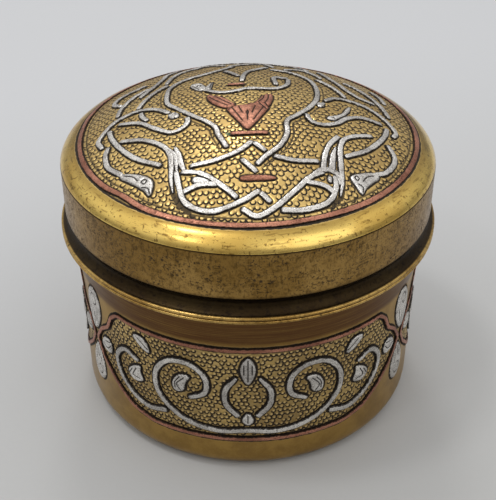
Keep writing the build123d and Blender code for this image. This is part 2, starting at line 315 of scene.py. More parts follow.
def addPlate(shell, surface, outline, seed, cuts=()):
    # a leaf, head or wing with a softened edge, and lines cut into its face
    look = {"step": 0.26, "margin": 0.16, "edge": 0.35, "cutDepth": 0.15}
    loop = roundedOutline(outline, look["step"])
    inner = fillOutline(loop, look["step"], look["margin"])
    every = [Vector(p) for p in np.concatenate([loop, inner]).tolist()]
    made = geometry.delaunay_2d_cdt(every, [], [list(range(len(loop)))], 1, 1e-5)
    spots = np.array([tuple(p) for p in made[0]])
    u, v = spots.T
    rim = gapTo(loop, spots)
    rim[:len(loop)] = 0
    cut = np.full(len(spots), faraway)
    for line in cuts:
        cut = np.minimum(cut, gapTo(smoothRun(line, 0.1, 0.1), spots))
    rise = hammered(seed, u, v, 0.8) * (0.1 + 0.9 * np.sqrt(np.clip(rim / look["edge"], 0, 1)))
    rise = rise - look["cutDepth"] * (1 - ease(cut, 0.08, 0.24))
    top = shell.add(surface(u, v, rise), rim=rim, cut=cut, along=u, across=v)
    shell.faces += [[int(top[i]) for i in face] for face in made[2]]
    foot = shell.add(surface(loop[:, 0], loop[:, 1], inlay["root"]), rim=0.0, cut=faraway)
    shell.bridge(top[:len(loop)], foot)
    shell.faces.append(foot.tolist())


def eye(x, y, wide, high):
    return [(x - wide, y), (x, y + high), (x + wide, y), (x, y - high), (x - wide, y)]


# Silver on the lid, seen from above with the front below: runs of x, y and sometimes
# width, outlines of heads and leaves, and lines cut into those
lidSilver = {
    "heart_strap_right": {"straps": [
        [(5.8, 19.4), (11, 17), (14.7, 12.3), (15.8, 6.5), (15.3, 0.7), (13.3, -3.8), (10.5, -7.5),
         (8.5, -9.8), (8.3, -14.5), (6.8, -18.3), (3.5, -22), (2.1, -23.8)]]},
    "heart_strap_left": {"straps": [
        [(-3.8, 22.8), (-6.9, 18.9), (-10.4, 16), (-15.1, 13.1), (-18, 9.2), (-18.5, 5), (-18, 0),
         (-16.3, -2.5), (-12.8, -6.5), (-8.8, -10.3), (-7, -12.5), (-6.3, -15), (-4.6, -18.8)]]},
    "heart_point": {"straps": [[(-1.1, -22.9), (1.5, -25.9)]]},
    "back_stem": {"straps": [
        [(4.4, 21.8), (2.4, 19.2), (0, 16.5), (-1, 13.5), (-1.4, 9.4)],
        [(-5.5, 17.6), (-2.4, 13)]]},
    "bird_scroll": {
        "straps": [
            [(-10, 4.6), (-7.5, 2.8), (-5.1, 2.3), (-2.7, 2.8), (-0.6, 4), (2.1, 4.2), (4.7, 4.2),
             (7.1, 5), (9, 7.6), (9.4, 11)],
            [(9, 11.9), (6.2, 11.9), (6.4, 7.4)]],
        "plates": [
            [(-13.6, 8.2), (-12.6, 9.3), (-10.8, 9), (-10, 7.4), (-9.2, 5), (-10.6, 4), (-12.6, 6)],
            [(-10.2, 5), (-8.4, 4), (-8.3, 7), (-7.9, 10.4), (-9, 8)]],
        "cuts": [eye(-11.3, 7.2, 0.5, 0.6), [(-12.8, 7.6), (-11.2, 5)], [(-8.7, 5.4), (-8.3, 9)]]},
    "side_loop_left": {"straps": [
        [(-13.2, -7.9), (-13.1, -9.6), (-14.2, -11.4), (-16.3, -12.3), (-20, -9.8), (-24, -5.8), (-28.6, -3.7)],
        [(-24, -1.6), (-23.5, -3.5), (-22.5, -5.2)]]},
    "side_loop_right": {
        "straps": [
            [(12.9, -6.5), (13.2, -7.9), (14.4, -9.3), (16.4, -9.5), (19.3, -8), (22, -4.8), (25.5, -2.7),
             (29.6, -2.8)]],
        "plates": [
            [(17.2, -6.9), (17.5, -5.6), (18.9, -5), (21, -3.2), (22.4, 1), (23.5, 1), (22.2, -3), (19.9, -5.7),
             (19, -7)]],
        "cuts": [[(18.4, -6.1), (18.8, -5.8), (19.1, -6.2)]]},
    "arch_left": {"straps": [
        [(-32, -10.8), (-33.1, -8), (-32, -4.8), (-29.5, -1.5), (-25.3, 0), (-21, -1.2), (-17.7, -4.2)],
        [(-17.2, -5.4), (-15.6, -6.6)]],
        "plates": [
            [(-17.6, -5.7), (-17, -4.7), (-15.9, -4.6), (-15.1, -5.5), (-15.3, -6.6), (-16.3, -7.1), (-17.2, -6.7)]],
        "cuts": [eye(-16.3, -5.8, 0.5, 0.5)]},
    "arch_right": {"straps": [
        [(17.6, 1.6), (19.5, 3.6), (22.4, 4.3), (25.8, 3.9), (28.9, 2.3), (31.6, -0.8), (33.1, -4.4), (32.4, -6.2)],
        [(16.9, -0.2), (16, -1.8)]],
        "plates": [[(15.2, -1), (15.6, 0), (16.6, 0.1), (17.3, -0.8), (16.9, -1.9), (15.8, -2.1)]],
        "cuts": [eye(16.3, -1, 0.3, 0.3)]},
    "side_band_left": {"straps": [
        [(-30.8, -5.4), (-30, -8.5), (-27.5, -13.5), (-23.5, -18.5), (-18.5, -21.9)],
        [(-27.5, -11), (-22.3, -13), (-18, -16.5), (-16.4, -19.4), (-15.9, -23), (-15.8, -26.5, 0.8),
         (-15.3, -29.4, 0.4)],
        [(-15.3, -17.8, 0.8), (-14.5, -20), (-13.9, -22.6), (-13.3, -24.2, 0.9)],
        [(-16.8, -17.6, 0.5), (-15.4, -19.8, 0.8), (-14.9, -22.4, 0.8), (-14.7, -24.4, 0.5)]]},
    "side_band_right": {"straps": [
        [(31, -4.2), (30.5, -6.5), (29, -10), (25.5, -15), (20.9, -18.6)],
        [(26.8, -9.4), (23, -11.3), (20.6, -13.4), (19.6, -16.5), (19.4, -23), (19.4, -26.4, 0.8), (18.9, -29.4, 0.4)],
        [(19.3, -12.9), (17.4, -15.9), (16.2, -19.4), (15.6, -23.4)],
        [(18.5, -16.8, 0.4), (17.9, -19.2, 1.1), (17.4, -23.2, 1.5)]]},
    "outer_curl_left": {
        "straps": [[(-30.5, -11.9), (-30.8, -14), (-29.8, -18.3), (-26.6, -21.9)]],
        "plates": [
            [(-26.6, -21.4), (-23, -22.9), (-20.1, -24.7), (-19.3, -26.8), (-20.1, -30), (-21.4, -27.6),
             (-24.4, -25), (-27.2, -22.6)]],
        "cuts": [[(-26, -22.4), (-23.8, -23.6), (-22.9, -24.8)], [(-21.9, -26.8), (-20.6, -27.4), (-20.1, -28.8)],
                 [(-22.1, -25.4), (-21.5, -24.9), (-20.9, -25.5), (-21.5, -26.1), (-22.1, -25.4)]]},
    "outer_curl_right": {
        "straps": [[(30.6, -11), (31.6, -13.5), (31.5, -16), (29.3, -20), (26.6, -21.9)]],
        "plates": [
            [(27, -21), (24.6, -21.9), (20.8, -24), (21.8, -25.6), (23.6, -28.6), (24.3, -26.4), (26, -24.4),
             (28, -22.2)]],
        "cuts": [[(26.4, -22.2), (24.8, -23.2), (23.9, -24.6)], [(22.8, -25.6), (23.8, -26.2), (23.7, -27.4)],
                 eye(22.6, -24.2, 0.5, 0.6)]},
    "front_loop_left": {
        "straps": [
            [(-14.8, -24.8), (-14.2, -28), (-12.6, -32.5), (-7.6, -35), (-1.2, -33), (2.1, -30.8)],
            [(2.7, -31.3), (4.3, -32.9)],
            [(-13.4, -24.9), (-9.5, -26), (-4.8, -29.8), (-2.5, -32)],
            [(-12.9, -29.8), (-9.8, -28.7), (-6.6, -28.9)]],
        "plates": [
            [(-11.5, -27), (-10.9, -26.4), (-9.4, -26.8), (-7.4, -28), (-8.3, -28.6), (-9.8, -28.4), (-11.3, -28.2)]]},
    "front_loop_right": {
        "straps": [
            [(-0.9, -34.9), (1.7, -36.3), (5.2, -34.4), (9.9, -29.7), (13, -26.1), (15.4, -24.6)],
            [(7.1, -34.7), (11.3, -34.2), (16.2, -31.7), (17.9, -28.5), (18, -25.2)],
            [(12.2, -27.7, 0.9), (14.4, -27.7, 1.2), (16.2, -28.1, 1.3), (17.6, -29.2, 1.2)],
            [(13.6, -25.3, 0.9), (15, -24.1, 1.2), (16.8, -23.7, 1.3), (18.6, -24.4, 1.3), (19.1, -26.6, 1.1)]],
        "plates": [[(16.9, -24.7), (17.5, -25.7), (17.3, -26.8), (16.7, -26.9), (16.2, -25.9)]]},
    "front_tie_left": {"straps": [
        [(-11.6, -23.6), (-6.4, -22.6), (-1.9, -20.3), (0.7, -17.7)],
        [(1.4, -18), (3.4, -20)]]},
    "front_tie_right": {"straps": [[(5.8, -21.7), (9.5, -22.4), (14.4, -21.8)]]},
    "back_straps_left": {"straps": [
        [(-24.8, 1.6), (-24, 4), (-21.7, 8.4), (-19, 11.4)],
        [(-29.6, 0.9), (-29.2, 4), (-26.7, 9.4), (-23.6, 12.6)],
        [(-24.9, 8.2), (-22.3, 13), (-20.6, 18.6), (-19.8, 24), (-17, 28.4)],
        [(-19.2, 13.5), (-18.2, 18.1), (-16, 23), (-12, 26)],
        [(-29.6, 6.5), (-31.4, 9), (-30.6, 12.4), (-27.5, 15), (-24.6, 16.6)]]},
    "back_straps_right": {"straps": [
        [(16.4, 14.4), (18.6, 12.1), (20.7, 9.2), (22.1, 6.2)],
        [(17.4, 24.5), (19.6, 18.6), (21.6, 14.4), (23.4, 10.8), (26, 8.2), (29, 7.4)],
        [(23.2, 17.6), (26.3, 14.9), (28.9, 11.3), (30.9, 7.4), (32.2, 2.6)],
        [(29.7, 17.3), (31.3, 14.9), (32.2, 11)],
        [(9, 20.6), (12.6, 22.6), (15.2, 20.4), (17.2, 17)]]},
    "back_knot": {"straps": [
        [(-4.4, 24), (-1, 26.6), (4, 28.6), (10.5, 27.6), (14.6, 24.4)],
        [(5.9, 23.4), (4.4, 26.4)],
        [(3.2, 30), (-1, 33), (-7, 33.2), (-12, 30.4)],
        [(-6, 26.2), (-9.6, 27.8), (-13.6, 27)]]},
}

lidCopper = {
    "tie_bars": {
        "straps": [[(-3.3, -15), (3.9, -14.6)], [(-4.3, 6.7), (-1.1, 6.8)]],
        "plates": [[(-1.8, -27.6), (-1.4, -28.5), (4.6, -28.1), (6.3, -27.4), (4.4, -26.7), (-1.2, -26.9)]]},
    "winged_cup": {
        "plates": [
            [(-9.2, 1.8), (-7.2, 0.8), (-5.3, -0.4), (-4, -2.2), (-2.4, -4.2), (-4.6, -5.6), (-7, -4), (-8.6, -2),
             (-9.3, 0)],
            [(3.2, 0.8), (4.4, 1.4), (5.6, 1.4), (5.7, -0.6), (5.2, -3), (4.6, -4.8), (1, -3.4), (2.4, -1.6)],
            [(-4.9, -5.5), (-2.6, -4.2), (-0.4, -4), (1.2, -3.1), (2.8, -3.5), (5, -4.4), (3.5, -7.8), (0.4, -13.6),
             (-0.5, -13.6), (-2, -11), (-4.2, -7)]],
        "cuts": [
            [(-8.6, 0), (-6.8, -2.2), (-4.4, -4.4)], [(-7.8, 0.8), (-5.8, -1.6), (-3.6, -4)],
            [(-3, -4.6), (-4.4, -6.2)], [(2.4, -3.2), (4, -5.8)], [(3.8, -3.4), (4.4, -4.8)],
            [(3.6, 1.2), (3.4, -1), (2.4, -2.8)], [(4.6, 1.2), (4.4, -1.4), (3.6, -3.4)],
            [(-0.1, -6.6), (-0.3, -7.4), (-0.1, -8.2), (0.1, -7.4), (-0.1, -6.6)], [(-0.1, -8.2), (-0.1, -10.2)],
            [(-3.6, -5.2), (-1.2, -10.6)], [(3.4, -5), (1.2, -10.2)],
            [(-2, -5), (-1.2, -7.6)], [(1.6, -4.6), (0.9, -7.4)]]},
}

copperRing = {"middle": 38.25, "width": 1.02, "wander": 0.16, "dip": 0.45, "dipAt": -43.0, "dipSpread": 6.0}

# second chased lines, this far beside a strap, and channels that have lost their silver
chasedLines = {
    "besideStraps": {"heart_strap_right": 1.45, "heart_strap_left": -1.45},
    "besideRing": [1.45, -1.0],
    "ringMark": [(0.8, 7.45), (1.3, 7.95), (1.8, 7.45), (1.3, 6.95)],
    "channels": [
        [(-15.7, -23.6), (-15.7, -26.5), (-15.3, -29.6), (-13.7, -32.9), (-10.9, -35.7)],
        [(19.7, -24.6), (19.5, -27.4), (18.8, -30.3), (16.8, -32.8)]],
    "channelWidth": 0.8,
    "verdigris": (-4.3, -14.9),
}

# Panels round the cup: borders as angle and height, vines as millimetres from the
# middle of the panel and height
panels = {
    "turns": {"front": 0, "right": 120, "left": 240},
    "halfBorder": [
        (45.6, 35.6), (48.8, 33.6), (51, 30), (55.4, 27.6), (59, 23.6), (55.4, 19.2), (48, 14.4), (40.6, 10.9),
        (32, 9.5)],
    "borderWidth": 0.95,
    "drop": 0.15,         # the punched panels lie this much lower than the wall
}

vine = {
    "base": [
        (0, 12.3), (6.2, 11.8), (12.2, 12.7), (17.6, 15.4), (21.3, 20), (21.4, 25.6), (18, 29.8), (13, 30.2),
        (9.6, 27.2), (9.6, 22.8), (13, 20.6, 1.0)],
    "stems": [
        [(19.6, 14.4), (24.4, 13.4), (29.2, 15.4), (32.8, 19.4), (33.4, 24), (30.4, 27.2), (26.8, 26, 1.0)],
        [(2.3, 16.8), (4.8, 20), (5, 24.2), (2.8, 27.6, 0.9)]],
    "leaves": [
        [(14.4, 21.8), (17, 21.2), (17.6, 24), (15.6, 27), (12.6, 26.6), (14.2, 24.6)],
        [(25.6, 24.8), (28.4, 23.6), (30.4, 21.2), (28, 19), (24.8, 20.4), (26.2, 22.4)],
        [(35.4, 25.4), (35.6, 22.2), (38.4, 21.8), (40.4, 23.6), (38.4, 26.4)],
        [(22.4, 29.4), (25, 30), (28.4, 33.4), (24.2, 33.6)]],
    "buds": [
        [(0, 34), (1.5, 32), (1.9, 29.2), (0, 25), (-1.9, 29.2), (-1.5, 32)],
        [(0, 13.6), (1.5, 14.8), (1, 16.6), (0, 17.6), (-1, 16.6), (-1.5, 14.8)]],
    "veins": [
        [(15.2, 22), (16.2, 23.6), (14.4, 26)], [(16.6, 22.6), (16.6, 24.2), (15.4, 26)],
        [(26.2, 20.8), (28.2, 21), (27.2, 23.4)], [(29.4, 21), (28.4, 22.8)],
        [(36, 24.6), (37.4, 23.2), (39.4, 23.8)], [(36.4, 25.4), (38.2, 25)], [(23.2, 30.6), (26, 32.8)]],
    "budVeins": [[(0, 33), (0, 27)], [(-0.9, 31.6), (-0.9, 29)], [(0.9, 31.6), (0.9, 29)], [(0, 14.6), (0, 16.8)]],
}

palms = {
    "turns": {"right": 60, "back": 180, "left": 300},
    "leaves": [
        [(0, 25.4), (1.7, 27), (3.1, 30), (3.4, 33), (2.4, 36.2), (0.3, 37.5), (-2, 36.6), (-3.3, 34), (-3, 30.4),
         (-1.6, 27.2)],
        [(0, 21.6), (1.6, 19.4), (3, 16.2), (3.1, 13), (1.7, 10.7), (-0.1, 10.1), (-2, 11), (-3.1, 13.6), (-2.7, 17),
         (-1.4, 19.8)]],
    "cuts": [
        [(-1.2, 34.6), (-0.2, 35.8), (1.2, 35.2), (1.5, 33.6), (0.4, 32.8), (-0.3, 33.8)],
        [(0, 26.6), (0.2, 30.6)], [(1.2, 28.6), (1.7, 31.6)], [(-1.1, 28.6), (-1.5, 32)],
        [(-1.2, 13), (-0.2, 11.8), (1.2, 12.4), (1.5, 14), (0.4, 14.8), (-0.3, 13.8)],
        [(0, 20.6), (0.2, 16.8)], [(1.1, 18.6), (1.5, 15.8)], [(-1, 18.6), (-1.4, 15.6)]],
}


class Wire:
    # a socket that can stand in a sum
    def __init__(self, finish, socket):
        self.finish, self.socket = finish, socket

    def maths(self, operation, first, second):
        return self.finish.node("ShaderNodeMath", {"operation": operation}, {0: first, 1: second})

    def __add__(self, other):
        return self.maths("ADD", self, other)

    def __radd__(self, other):
        return self.maths("ADD", other, self)

    def __sub__(self, other):
        return self.maths("SUBTRACT", self, other)

    def __rsub__(self, other):
        return self.maths("SUBTRACT", other, self)

    def __mul__(self, other):
        return self.maths("MULTIPLY", self, other)

    def __rmul__(self, other):
        return self.maths("MULTIPLY", other, self)


class Finish:
    # one material (or the world) and the few ways its nodes are added
    def __init__(self, name, world=None):
        self.material = world or bpy.data.materials.new(name)
        self.material.use_nodes = True
        self.tree = self.material.node_tree
        self.tree.nodes.clear()

    def node(self, kind, settings=None, sockets=None, out=0):
        made = self.tree.nodes.new(kind)
        for key, value in (settings or {}).items():
            setattr(made, key, value)
        for key, value in (sockets or {}).items():
            target = made.inputs[key] if isinstance(key, int) else self.find(made.inputs, key)
            if isinstance(value, Wire):
                self.tree.links.new(value.socket, target)
            else:
                target.default_value = value
        outlets = [o for o in made.outputs if o.enabled]
        if not outlets:
            return made
        return Wire(self, outlets[out] if isinstance(out, int) else self.find(outlets, out))

    def find(self, sockets, key):
        return next(s for s in sockets if key in (s.identifier, s.name) and s.enabled)

    def mark(self, name):
        return self.node("ShaderNodeAttribute", {"attribute_name": name}, out="Fac")

    def place(self):
        return self.node("ShaderNodeTexCoord", out="Object")

    def split(self, vector, axis):
        return self.node("ShaderNodeSeparateXYZ", {}, {0: vector}, out=axis)

    def noise(self, vector, scale, detail, roughness=0.55):
        # three scales draw the noise out along an axis
        if isinstance(scale, tuple):
            vector = self.node("ShaderNodeVectorMath", {"operation": "MULTIPLY"}, {0: vector, 1: scale})
            scale = 1
        sockets = {"Vector": vector, "Scale": scale, "Detail": detail, "Roughness": roughness}
        return self.node("ShaderNodeTexNoise", {}, sockets, out="Fac")

    def ramp(self, value, low, high, start=0.0, end=1.0):
        return self.node("ShaderNodeMapRange", {"interpolation_type": "SMOOTHSTEP"},
                         {"Value": value, "From Min": low, "From Max": high, "To Min": start, "To Max": end})

    def mix(self, mask, first, second):
        return self.node("ShaderNodeMix", {"data_type": "RGBA"},
                         {"Factor_Float": mask, "A_Color": first, "B_Color": second}, out="Result_Color")

    def stain(self, under, over, value, low, high, most=1.0):
        # the colour over comes in where the value rises from low to high
        return self.mix(self.ramp(value, low, high, 0.0, most), under, over)

    def blend(self, mask, first, second):
        return self.node("ShaderNodeMix", {}, {"Factor_Float": mask, "A_Float": first, "B_Float": second},
                         out="Result_Float")

    def larger(self, first, second):
        return self.node("ShaderNodeMath", {"operation": "MAXIMUM"}, {0: first, 1: second})

    def bump(self, height, distance, strength):
        return self.node("ShaderNodeBump", {}, {"Height": height, "Distance": distance, "Strength": strength})

    def finish(self, colour, roughness, metallic, normal):
        sockets = {"Base Color": colour, "Roughness": roughness, "Metallic": metallic, "Normal": normal}
        shader = self.node("ShaderNodeBsdfPrincipled", {}, sockets)
        self.node("ShaderNodeOutputMaterial", {}, {"Surface": shader})
        return self.material


def paint(red, green, blue):
    # a colour as it looks on screen, 0 to 255
    def line(c):
        c = c / 255
        return c / 12.92 if c <= 0.04045 else ((c + 0.055) / 1.055) ** 2.4
    return line(red), line(green), line(blue), 1.0


# near-black brown: dirt, and the painted shade in the struck crescents
blackBrown = paint(30, 20, 11)
verdigris = paint(66, 96, 76)


def makePunchedBrass(name, look):
    # brass with rings struck into it, painted shade in the rings and a painted highlight in each: marks edge, ring,
    # lean, field, chased, shoulder and green
    f = Finish(name)
    place = f.place()
    edge, ring, lean, field = (f.mark(mark) for mark in ("edge", "ring", "lean", "field"))
    wobble, cloudy, fine = f.noise(place, 900, 3), f.noise(place, 70, 5), f.noise(place, 2600, 3)
    # the struck ring: a crescent, deepest on the side where the punch was leaned; painted shade darkens it there
    away = ring + (wobble - 0.5) * 0.2 - look["ring"]
    crescentShade = f.ramp(away * away, 0.010, look["bold"], 1.0, 0.0) * f.ramp(lean, 0.1, 0.62, look["faint"], 1.0) * field
    # painted highlight: the low button inside each ring is coloured brighter
    buttonGlint = f.ramp(ring + (1.0 - lean) * 0.1, 0.16, 0.42, look["buttonGlint"], 0.0) * field
    outline = f.ramp(edge + (wobble - 0.5) * 0.45, *look["outline"], 1.0, 0.0)
    gaps = f.ramp(ring, look["ring"], look["ring"] + 0.25, 0.0, look["gaps"]) * field
    gaps = gaps * f.ramp(cloudy, 0.3, 0.55, 0.4, 1.0)
    # darkening: the painted shade of the crescents, with the darker outline by the inlays, the gaps between rings and
    # the chased lines
    darkening = f.larger(f.larger(crescentShade, outline), f.larger(gaps, f.mark("chased")))
    darkening = f.node("ShaderNodeMath", {"use_clamp": True}, {0: darkening, 1: (fine - 0.5) * 0.3})
    brass = f.stain(look["brass"], look["aged"], cloudy, 0.35, 0.68)
    # random bright flecks and the painted highlight of the buttons take the bright colour
    brass = f.mix(f.larger(f.ramp(fine, 0.3, 0.75, 0.0, 0.35), buttonGlint), brass, look["bright"])
    shell = f.mix(f.mark("green"), f.mix(darkening, brass, blackBrown), verdigris)
    rough = f.blend(darkening, f.ramp(cloudy, 0.3, 0.7, look["rough"] - 0.05, look["rough"] + 0.08), 0.62)
    if "turned" in look:
        # a plain foot, brown bands that the lathe left above the panels, and the clean top edge
        height = f.split(place, "Z")
        bands = f.noise(place, (30, 30, 3600), 5, 0.65)
        worn = f.ramp(f.noise(place, 160, 6, 0.65), 0.36, 0.64, 0.0, 0.35)
        shell = f.mix((1 - field) * (1 - darkening), shell, f.mix(worn, look["foot"], look["turned"]))
        above = f.ramp(height, *look["bandsFrom"]) * (1 - field)
        shell = f.mix(above * f.ramp(bands, 0.30, 0.60, 0.65, 1.0), shell, look["turned"])
        shell = f.mix(above * f.ramp(bands, 0.56, 0.72, 0.0, 0.5), shell, look["foot"])
        shell = f.stain(shell, look["foot"], height, *look["edgeFrom"])
    if "polish" in look:
        # the rolled shoulder was rubbed bright, with fine scratches round it and a stain by the ring
        shoulder = f.mark("shoulder") * f.ramp(edge, 0.30, 0.50)
        polish = f.stain(look["polish"], look["worn"], cloudy, 0.38, 0.62)
        for scales, low, high, most in (((300, 300, 2600), 0.56, 0.66, 0.45), ((1700, 1700, 500), 0.62, 0.68, 0.7)):
            polish = f.stain(polish, look["scratch"], f.noise(place, scales, 3), low, high, most)
        stain = f.ramp(edge + (cloudy - 0.5) * 5.0, 0.3, 2.6, 0.55, 0.0)
        polish = f.mix(f.larger(f.ramp(wobble, 0.60, 0.68, 0.0, 0.7), stain), polish, look["scratch"])
        shell = f.mix(shoulder, shell, polish)
        rough = f.blend(shoulder, rough, f.ramp(cloudy, 0.3, 0.7, 0.17, 0.30))
    height = (1 - crescentShade) * 0.6 + fine * 0.10 + cloudy * 0.25
    return f.finish(shell, rough, 1.0 - darkening * 0.55, f.bump(height, 0.00009, 0.8))


def makePlainBrass(name, look):
    # brass worn by hands: cloudy tarnish, small pits, fine scratches; a mark darkens it with grime and painted shade
    f = Finish(name)
    place = f.place()
    cloudy, mottle = f.noise(place, 60, 6, 0.62), f.noise(place, 900, 5, 0.65)
    chance, pitted = f.noise(place, 190, 3), f.noise(place, 2400, 2, 0.5)
    pits = f.node("ShaderNodeTexVoronoi", {}, {"Vector": place, "Scale": 520.0, "Randomness": 1.0}, out="Distance")
    pit = f.larger(f.ramp(pits, 0.10, 0.26, 1.0, 0.0) * f.ramp(chance, 0.56, 0.66),
                   f.ramp(pitted, 0.55, 0.65, 0.0, look["pits"]) * f.ramp(chance, 0.36, 0.60, 0.25, 1.0))
    level, leaning = f.noise(place, (260, 260, 2400), 3), f.noise(place, (1900, 1900, 420), 3)
    scratch = f.larger(f.ramp(level, 0.58, 0.66) * f.ramp(chance, 0.42, 0.6), f.ramp(leaning, 0.60, 0.66, 0.0, 0.8))
    # the mark darkens the rows: grime, and on the rim painted shade in its hollows and creases
    grime = f.mark("grime") * f.ramp(mottle, 0.25, 0.6, 1.0, 0.94)
    colour = f.stain(look["brass"], look["aged"], cloudy, 0.38, 0.60)
    colour = f.stain(colour, look["dark"], mottle, 0.45, 0.72, look["mottle"])
    colour = f.mix(scratch * look["scratch"], colour, look["dark"])
    colour = f.mix(f.larger(pit * 0.85, grime), colour, look["grime"])
    rough = f.ramp(mottle, 0.3, 0.75, look["rough"] - 0.06, look["rough"] + 0.12) + pit * 0.3 + grime * 0.1
    height = mottle * 0.35 + cloudy * 0.5 - pit * 0.8 - scratch * 0.3
    return f.finish(colour, rough, 1.0 - f.larger(pit * 0.4, grime * 0.1), f.bump(height, 0.00006, look["relief"]))


def makeInlayMetal(name, look):
    # beaten metal with dirt along its rim and in its cuts: marks rim, cut, along and across
    f = Finish(name)
    place = f.place()
    grain, cloudy, flecks = f.noise(place, 1500, 4, 0.6), f.noise(place, 160, 4), f.noise(place, 3200, 2)
    lengthways = f.node("ShaderNodeCombineXYZ", {}, {"X": f.mark("along") * 0.8, "Y": f.mark("across") * 5.0})
    streak = f.ramp(f.noise(lengthways, 1, 4), 0.52, 0.68) * f.ramp(cloudy, 0.4, 0.6, 0.3, 1.0)
    line = f.ramp(f.mark("cut") + (grain - 0.5) * 0.08, 0.09, 0.21, 1.0, 0.0)
    darkening = f.larger(f.ramp(f.mark("rim") + (grain - 0.5) * 0.5, 0.0, 0.14, 0.95, 0.0), line)
    colour = f.stain(look["metal"], look["aged"], cloudy, 0.35, 0.7)
    colour = f.stain(colour, look["dark"], grain, 0.52, 0.78, look["spots"])
    colour = f.mix(f.larger(streak * 0.45, f.ramp(flecks, 0.56, 0.66, 0.0, look["flecks"])), colour, look["dark"])
    colour = f.mix(darkening, colour, blackBrown)
    rough = f.blend(darkening, f.ramp(grain, 0.3, 0.75, look["rough"] - 0.08, look["rough"] + 0.14), 0.65)
    height = grain * 0.9 + cloudy * 0.4 - line * 0.5 - streak * 0.4
    return f.finish(colour, rough, look["metallic"] - darkening * 0.5, f.bump(height, 0.00011, 0.9))


silver = makeInlayMetal("beatenSilver", {
    "metal": paint(232, 228, 222), "aged": paint(188, 183, 177), "dark": paint(80, 72, 64), "spots": 0.6,
    "flecks": 0.75, "rough": 0.31, "metallic": 0.84})
copper = makeInlayMetal("beatenCopper", {
    "metal": paint(194, 136, 112), "aged": paint(152, 102, 82), "dark": paint(74, 42, 31), "spots": 0.7,
    "flecks": 0.6, "rough": 0.38, "metallic": 0.95})
domeBrass = makePunchedBrass("punchedDomeBrass", {
    "brass": paint(228, 192, 118), "aged": paint(192, 156, 90), "bright": paint(246, 220, 156), "rough": 0.30,
    "ring": chasing["domeRing"], "bold": 0.054, "faint": 0.35, "buttonGlint": 0.4, "gaps": 0.25, "outline": (0.16, 0.44),
    "polish": paint(240, 206, 116), "worn": paint(216, 178, 92), "scratch": paint(112, 80, 34)})
cupBrass = makePunchedBrass("panelBrass", {
    "brass": paint(224, 188, 112), "aged": paint(188, 152, 84), "bright": paint(246, 224, 176), "rough": 0.34,
    "ring": chasing["cupRing"], "bold": 0.075, "faint": 0.45, "buttonGlint": 0.45, "gaps": 0.45, "outline": (0.38, 0.76),
    "turned": paint(92, 62, 38), "foot": paint(172, 138, 74), "bandsFrom": (0.0362, 0.0378),
    "edgeFrom": (0.0448, 0.0454)})
skirtBrass = makePlainBrass("handledSkirtBrass", {
    "brass": paint(170, 136, 78), "aged": paint(142, 110, 57), "dark": paint(58, 40, 17), "grime": paint(34, 23, 11),
    "mottle": 0.6, "scratch": 0.6, "pits": 0.9, "rough": 0.31, "relief": 0.6})
# the rim's darkest colour is painted shade in its hollow, its seam and between its beads
rimBrass = makePlainBrass("turnedRimBrass", {
    "brass": paint(212, 176, 104), "aged": paint(170, 134, 72), "dark": paint(66, 46, 20), "grime": paint(24, 15, 7),
    "mottle": 0.5, "scratch": 0.4, "pits": 0.4, "rough": 0.3, "relief": 0.4})
print("finishes made")


def samplesOf(runs, outlines):
    # spots on the centre lines and plates, with the half width that each one fills
    spots = [np.stack([run[:, 0], run[:, 1], run[:, 2] / 2], -1) for run in runs]
    for outline in outlines:
        loop = roundedOutline(outline, 0.15)
        spots.append(np.concatenate([loop, np.full((len(loop), 1), 0.02)], 1))
        inner = fillOutline(loop, 0.2, 0.08)
        spots.append(np.concatenate([inner, np.full((len(inner), 1), 0.12)], 1))
    return np.concatenate(spots)


def treeOf(spots):
    tree = kdtree.KDTree(len(spots))
    for i, spot in enumerate(spots[:, :2].tolist()):
        tree.insert((spot[0], spot[1], 0), i)
    tree.balance()
    return tree


def nearest(tree, u, v):
    # for each place: the nearest spot's number and how far away it is
    found = [tree.find((a, b, 0))[1:] for a, b in zip(np.ravel(u).tolist(), np.ravel(v).tolist())]
    return [i for i, _ in found], np.array([far for _, far in found])


def clearance(tree, spots, u, v):
    # how far each place is from the edge of the nearest inlay, below 0 under it
    index, away = nearest(tree, u, v)
    return (away - spots[index, 2]).reshape(np.shape(u))


def strikeRings(low, high, allowed, seed, size):
    # centres of the struck rings: loose rows first, then the gaps that are left
    u, v = (grid.ravel() for grid in staggered(low, high, chasing["pitch"] * size))
    u = u + 0.5 * softNoise(seed, u, v, 6) + 0.2 * softNoise(seed + 1, u, v, 1.1)
    v = v + 0.5 * softNoise(seed + 2, u, v, 6) + 0.2 * softNoise(seed + 3, u, v, 1.1)
    rng = np.random.RandomState(seed)
    darts = rng.rand(chasing["tries"], 2) * (np.array(high) - np.array(low)) + np.array(low)
    u, v = np.concatenate([u, darts[:, 0]]), np.concatenate([v, darts[:, 1]])
    keep = allowed(u, v)
    u, v = u[keep], v[keep]
    taken, centres = {}, []
    near = chasing["nearest"] * size
    for a, b in zip(u.tolist(), v.tolist()):
        i, j = int(a // near), int(b // near)
        rivals = (q for k in (-1, 0, 1) for m in (-1, 0, 1) for q in taken.get((i + k, j + m), ()))
        if all((a - c) ** 2 + (b - d) ** 2 > near ** 2 for c, d in rivals):
            taken.setdefault((i, j), []).append((a, b))
            centres.append((a, b))
    return np.array(centres)


def struckField(centres, u, v, facing, seed):
    # for each place: distance to the nearest ring's centre, and how deep that side was struck
    index, ring = nearest(treeOf(centres), u, v)
    across, up = centres[index].T
    turn = radians(facing) + 0.9 * softNoise(seed, across, up, 7) + 0.5 * softNoise(seed + 1, across, up, 1.2)
    du, dv = np.ravel(u) - across, np.ravel(v) - up
    lean = 0.5 + 0.5 * (du * np.cos(turn) + dv * np.sin(turn)) / np.maximum(ring, 0.05)
    return ring.reshape(np.shape(u)), lean.reshape(np.shape(u))


